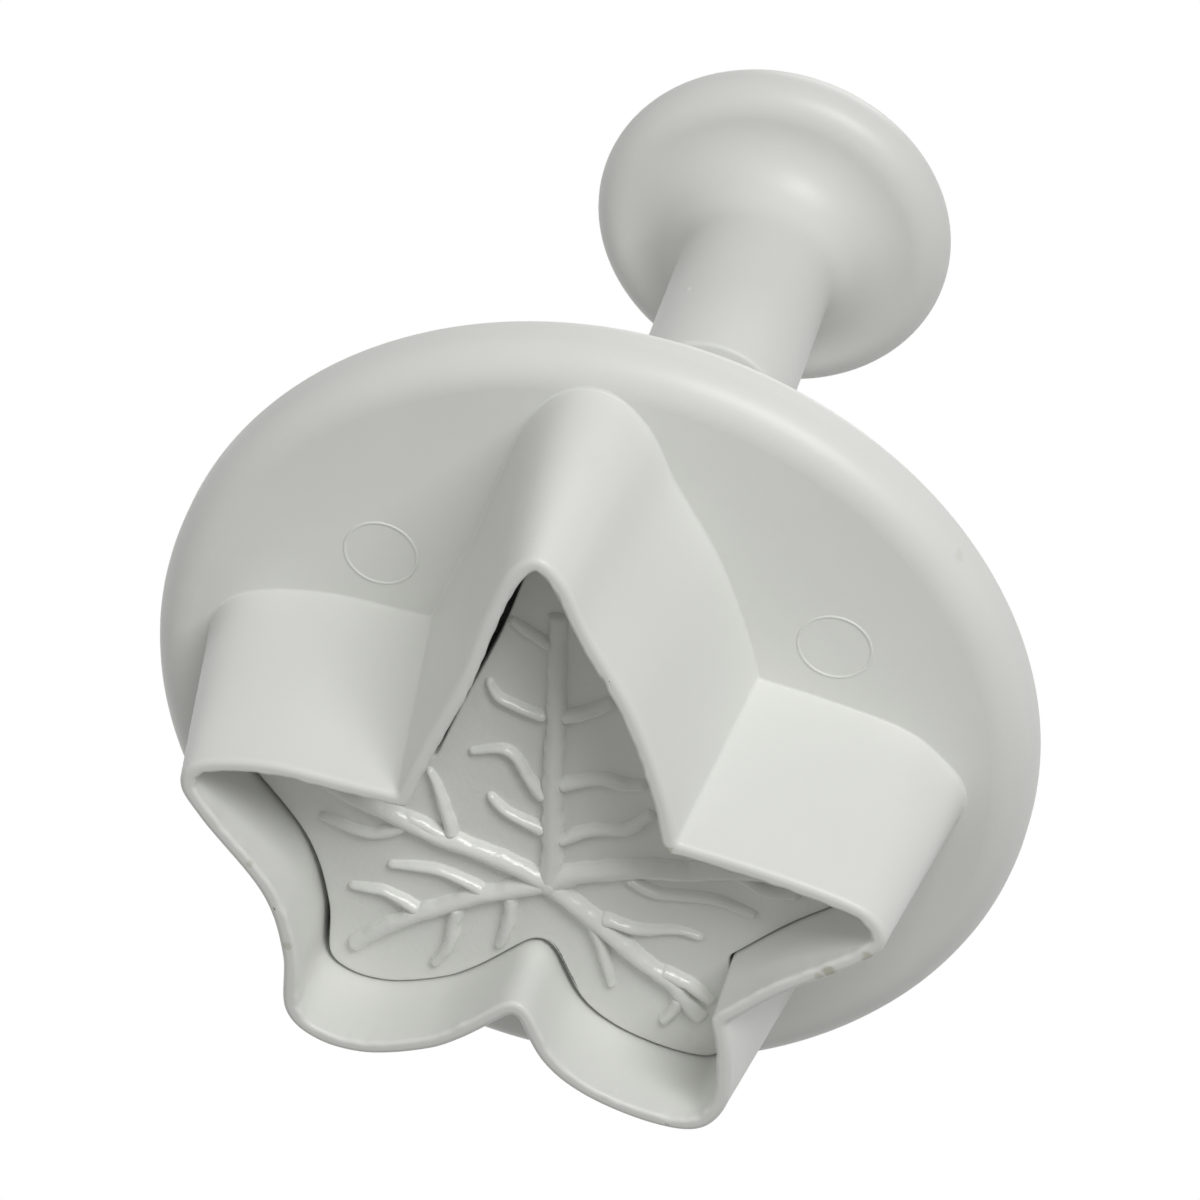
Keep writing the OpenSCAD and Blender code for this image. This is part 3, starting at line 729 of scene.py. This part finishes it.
BODY_STAINS = [
    [[-3.6, 14.6, 0.3], 0.5, 0.4], [[-7.8, 3.4, 0.1], 0.35, 0.4], [[-19.4, -1.8, 0], 0.5, 0.4],
    [[-17.3, -3.4, 0], 0.55, 0.5], [[-16.7, -3.9, 0], 0.35, 0.35], [[14.1, -8.6, 0], 0.4, 0.3],
    [[16.4, -3, 0], 0.3, 0.3], [[-20.7, 15.7, 15], 0.5, 0.13], [[-20.75, 17, 14.8], 0.45, 0.13]]
body_abs = moulded_abs("satin_moulded_abs_body", "#E6E7E3", "#E2E3DF", 0.005, 0.42,
                       BODY_STAINS)
knob_abs = moulded_abs("satin_moulded_abs_knob", "#E6E7E3", "#E2E3DF", 0.005, 0.42,
                       [[[-6.28, -0.27, 63.5], 0.4, 0.3]])
rod_abs = moulded_abs("satin_moulded_abs_rod", "#E0E1DD", "#DADBD7", 0.004, 0.36)

# %% [markdown]
# ### Semi-gloss ABS of the leaf plate
# The veins were cut into a polished mould with a small ball cutter, and its tool marks show as
# a row of sparkles along each crest. The flat of the plate is duller. Height tells the two
# apart: what stands below the plate's face is vein.

# %% The plate's plastic
def veined_abs(name):
    """Semi-gloss ABS: roughness 0.2 on the veins, 0.4 on the flat, with tool marks."""
    made, tree, out = material(name)
    place = add(tree, "TexCoord").outputs["Object"]
    drift = add(tree, "TexNoise", {"Vector": place}, Scale=per(7), Detail=2)
    colour = add(tree, "Mix", {0: drift.outputs["Fac"]}, data_type="RGBA", i6=light("#E6E7E3"),
                 i7=light("#E2E3DF"))
    height = add(tree, "SeparateXYZ", {"Vector": place}).outputs["Z"]
    on_vein = add(tree, "MapRange", {"Value": height}, i1=(FACE - 0.3) * MM,
                  i2=(FACE - 0.03) * MM, i3=0.2, i4=0.4)
    marks = add(tree, "TexNoise", {"Vector": place}, Scale=per(0.4), Detail=2)
    fine = add(tree, "TexNoise", {"Vector": place}, Scale=per(0.18), Detail=1)
    wavy = add(tree, "Bump", {"Height": marks.outputs["Fac"]}, Strength=1, Distance=0.03 * MM)
    bump = add(tree, "Bump", {"Height": fine.outputs["Fac"], "Normal": wavy.outputs[0]},
               Strength=1, Distance=0.004 * MM)
    shader = add(tree, "BsdfPrincipled", {
        "Base Color": colour.outputs[2], "Roughness": on_vein.outputs[0],
        "Normal": bump.outputs[0]}, IOR=1.53)
    tree.links.new(shader.outputs[0], out.inputs[0])
    return made

plate_abs = veined_abs("semi_gloss_moulded_abs_plate")

# %% [markdown]
# ### Drawn spring wire
# The return spring is stainless wire that was pulled through a die. Drawing leaves long fine
# lines and a bright, slightly brushed face. The spring hides inside the sleeve, but it shows
# from below when the plunger is taken apart, so it gets its own finish.

# %% Spring steel
def drawn_steel(name):
    """Drawn stainless wire: metallic, roughness about 0.3, fine lines 0.08 mm apart."""
    made, tree, out = material(name)
    place = add(tree, "TexCoord").outputs["Object"]
    lines = add(tree, "TexNoise", {"Vector": place}, Scale=per(0.08), Detail=2)
    colour = add(tree, "Mix", {0: lines.outputs["Fac"]}, data_type="RGBA", i6=light("#C9CBCD"),
                 i7=light("#AEB1B4"))
    rough = add(tree, "MapRange", {"Value": lines.outputs["Fac"]}, i3=0.22, i4=0.38)
    bump = add(tree, "Bump", {"Height": lines.outputs["Fac"]}, Strength=1, Distance=0.003 * MM)
    shader = add(tree, "BsdfPrincipled", {
        "Base Color": colour.outputs[2], "Roughness": rough.outputs[0],
        "Normal": bump.outputs[0]}, Metallic=1)
    tree.links.new(shader.outputs[0], out.inputs[0])
    return made

wire_steel = drawn_steel("drawn_spring_steel")

# %% Give each piece its finish
for made, finish in ((moulding, body_abs), (knob, knob_abs), (leaf_plate, plate_abs),
                     (spring, wire_steel)):
    made.data.materials.append(finish)
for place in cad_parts["push_rod"].material_slots:
    place.link, place.material = "OBJECT", rod_abs
print("finishes:", [m.name for m in bpy.data.materials if m.users])

# %% [markdown]
# ## The studio
# The shading in the photograph suggests one large soft lamp towards the tip of the leaf, a weak
# one on the other side, and plenty of light bounced round a white room. The strengths here were
# worked out from the photograph's shades and then trimmed, so they are one light that fits and
# not the only one.

# %% Lamps
def lamp(name, towards, far, wide, tall, watts):
    """A soft lamp, far mm away in the direction towards, facing the tool's middle."""
    data = bpy.data.lights.new(name, "AREA")
    data.shape, data.energy = "RECTANGLE", watts
    data.size, data.size_y = wide * MM, tall * MM
    made = bpy.data.objects.new(name, data)
    bpy.context.collection.objects.link(made)
    z = np.array(towards, float) / np.linalg.norm(towards)
    x = np.cross([0, 0, 1], z)
    x /= np.linalg.norm(x)
    place = np.eye(4)
    place[:3, :3] = np.stack([x, np.cross(z, x), z], axis=1)
    place[:3, 3] = (z * far + [0, 0, 20]) * MM
    made.matrix_world = Matrix(place.tolist())

lamp("key_soft", (-0.415, 0.783, -0.463), 500, 300, 170, 1.5)
lamp("fill_soft", (0.837, 0.305, -0.454), 500, 350, 350, 0.25)
lamp("upper_soft", (-0.1, 0.2, 1), 1500, 800, 800, 4.5)

# %% [markdown]
# ### Floor and room
# The camera looks up through the table, so the table shows only its upper face, and from below
# it is clear. The room is white to the eye and in reflections, and weaker as a source of light,
# so that the pale plastic keeps its shades.

# %% Floor
half = 3.0
floor_mesh = bpy.data.meshes.new("studio_floor")
floor_mesh.from_pydata([(-half, -half, 0), (half, -half, 0), (half, half, 0), (-half, half, 0)],
                       [], [(0, 1, 2, 3)])
floor = bpy.data.objects.new("studio_floor", floor_mesh)
bpy.context.collection.objects.link(floor)
floor.visible_shadow = False
floor.visible_diffuse = False
paper, tree, out = material("studio_paper")
matte = add(tree, "BsdfDiffuse", Color=light("#F4F4F2"))
clear = add(tree, "BsdfTransparent")
below = add(tree, "NewGeometry")
choose = add(tree, "MixShader", {0: below.outputs["Backfacing"], 1: matte.outputs[0],
                                 2: clear.outputs[0]})
tree.links.new(choose.outputs[0], out.inputs[0])
floor_mesh.materials.append(paper)

# %% White room
world = bpy.data.worlds.new("white_room")
bpy.context.scene.world = world
world.use_nodes = True
tree = world.node_tree
tree.nodes.clear()
seen = add(tree, "LightPath")
direct = add(tree, "Math", {0: seen.outputs["Is Camera Ray"], 1: seen.outputs["Is Glossy Ray"]},
             operation="MAXIMUM")
direct = add(tree, "Math", {0: direct.outputs[0], 1: seen.outputs["Is Transmission Ray"]},
             operation="MAXIMUM")
white = add(tree, "Background", Color=light("#FFFFFF"), Strength=1)
room = add(tree, "Background", Color=light("#F3F3F1"), Strength=0.32)
choose = add(tree, "MixShader", {0: direct.outputs[0], 1: room.outputs[0], 2: white.outputs[0]})
tree.links.new(choose.outputs[0], add(tree, "OutputWorld").inputs[0])
bpy.context.scene.view_settings.view_transform = "Standard"
